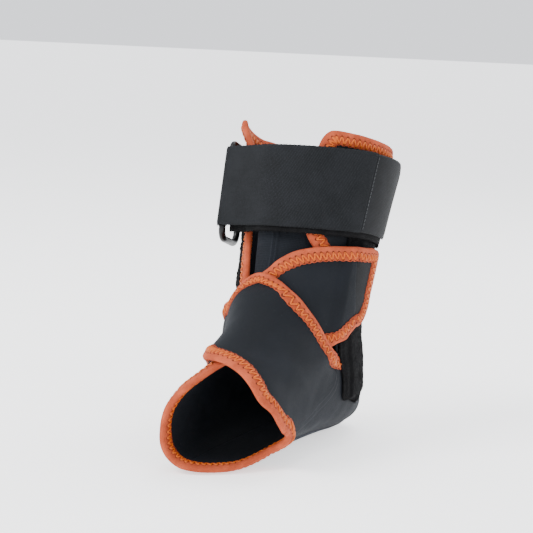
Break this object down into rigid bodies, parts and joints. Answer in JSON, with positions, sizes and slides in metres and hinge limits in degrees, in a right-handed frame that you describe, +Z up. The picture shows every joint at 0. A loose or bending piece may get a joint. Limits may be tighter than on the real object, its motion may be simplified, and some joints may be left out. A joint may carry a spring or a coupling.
{
  "type": "ankle foot orthosis",
  "caption": "Soft wrap ankle foot orthosis for a right foot, with crossing instep wings, bound edges, side stays and a leg strap turned back through a ring.",
  "frame": {"origin": "on the flat of the sole, below the ankle", "axes": "+Z up, -Y towards the toes, +X towards the inner side of the right foot"},
  "size_m": [0.1091, 0.1906, 0.2012],
  "materials": {
    "neoprene": "fine knit face on foam rubber",
    "lining_knit": "smooth knit",
    "binding_tape": "stretch tape, zigzag stitched",
    "pile": "brushed loop pile",
    "webbing": "close woven loop webbing",
    "hook_tape": "hook tape backing",
    "ring_plastic": "moulded gloss",
    "stay_plastic": "satin"
  },
  "bodies": {
    "brace": {"tongue": "lining_knit", "medial_cuff": "neoprene", "lateral_cuff": "neoprene", "medial_heel_quarter": "neoprene", "lateral_heel_quarter": "neoprene", "sole_panel": "neoprene", "back_seam_tape": "binding_tape", "medial_cuff_front_binding": "binding_tape", "medial_cuff_top_binding": "binding_tape", "lateral_cuff_front_binding": "binding_tape", "lateral_cuff_top_binding": "binding_tape", "medial_foot_binding": "binding_tape", "lateral_foot_binding": "binding_tape", "sole_front_binding": "binding_tape", "medial_stay": "stay_plastic", "medial_stay_cover": "pile", "lateral_stay": "stay_plastic", "lateral_stay_cover": "pile", "upper_wing": "neoprene", "upper_wing_top_binding": "binding_tape", "upper_wing_bottom_binding": "binding_tape", "lower_wing": "neoprene", "lower_wing_top_binding": "binding_tape", "lower_wing_bottom_binding": "binding_tape", "strap_inner_run": "webbing", "ring_keeper": "webbing", "strap_ring": "ring_plastic"},
    "strap": {"strap_outer_run": "webbing"},
    "strap_tab": {"strap_hook_tab": "hook_tape"},
    "upper_wing_tab": {"upper_wing_hook_tab": "hook_tape", "upper_wing_tab_binding": "binding_tape"},
    "lower_wing_flap": {"lower_wing_flap": "neoprene", "lower_wing_flap_top_binding": "binding_tape", "lower_wing_flap_bottom_binding": "binding_tape"},
    "lower_wing_tab": {"lower_wing_hook_tab": "hook_tape", "lower_wing_tab_binding": "binding_tape"}
  },
  "joints": [
    {"name": "strap_swing", "type": "hinge", "parent": "brace", "child": "strap", "pos_m": [-0.048, -0.00618, 0.15882], "axis": [0, -0.2419, -0.9703], "range_deg": [0, 90]},
    {"name": "strap_tab_peel", "type": "hinge", "parent": "strap", "child": "strap_tab", "pos_m": [0.04568, -0.00392, 0.16145], "axis": [-0.1076, -0.2295, -0.9673], "range_deg": [0, 70]},
    {"name": "upper_wing_tab_peel", "type": "hinge", "parent": "brace", "child": "upper_wing_tab", "pos_m": [0.04452, -0.00972, 0.10304], "axis": [0.0164, 0.0658, -0.9977], "range_deg": [0, 70]},
    {"name": "lower_wing_open", "type": "hinge", "parent": "brace", "child": "lower_wing_flap", "pos_m": [0.00434, -0.07449, 0.08561], "axis": [0.2761, 0.819, 0.503], "range_deg": [0, 42]},
    {"name": "lower_wing_tab_peel", "type": "hinge", "parent": "lower_wing_flap", "child": "lower_wing_tab", "pos_m": [-0.04478, -0.01801, 0.06238], "axis": [0.0173, 0.3985, 0.917], "range_deg": [0, 70]}
  ]
}
